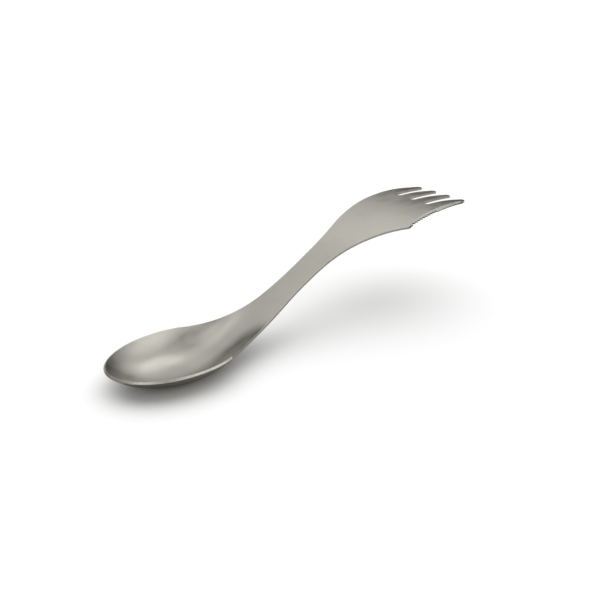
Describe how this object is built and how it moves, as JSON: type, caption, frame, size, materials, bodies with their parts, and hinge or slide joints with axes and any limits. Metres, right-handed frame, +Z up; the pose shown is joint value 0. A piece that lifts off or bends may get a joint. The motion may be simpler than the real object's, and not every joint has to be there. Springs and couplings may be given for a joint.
{
  "type": "spoon-fork with knife edge",
  "caption": "One-piece camping cutlery pressed from titanium sheet: a spoon bowl at one end, a raised fork with a serrated knife edge at the other, joined by a flat waisted handle.",
  "frame": {"origin": "middle of the overall length and width, at the lowest point of the bowl's belly", "axes": "+X from the bowl's nose to the fork's tips, +Y to the plain side (the serrated side is -Y), +Z up with the bowl's rim level"},
  "size_m": [0.1692, 0.038, 0.0408],
  "materials": {
    "satin_titanium": "satin, bead-blasted",
    "ground_titanium": "fine ground"
  },
  "bodies": {
    "root": {"bowl": "satin_titanium", "neck": "satin_titanium", "handle": "satin_titanium", "fork_head": "satin_titanium", "tine_1": "satin_titanium", "tine_2": "satin_titanium", "tine_3": "satin_titanium", "tine_4": "satin_titanium", "knife_edge": "ground_titanium"}
  },
  "joints": []
}
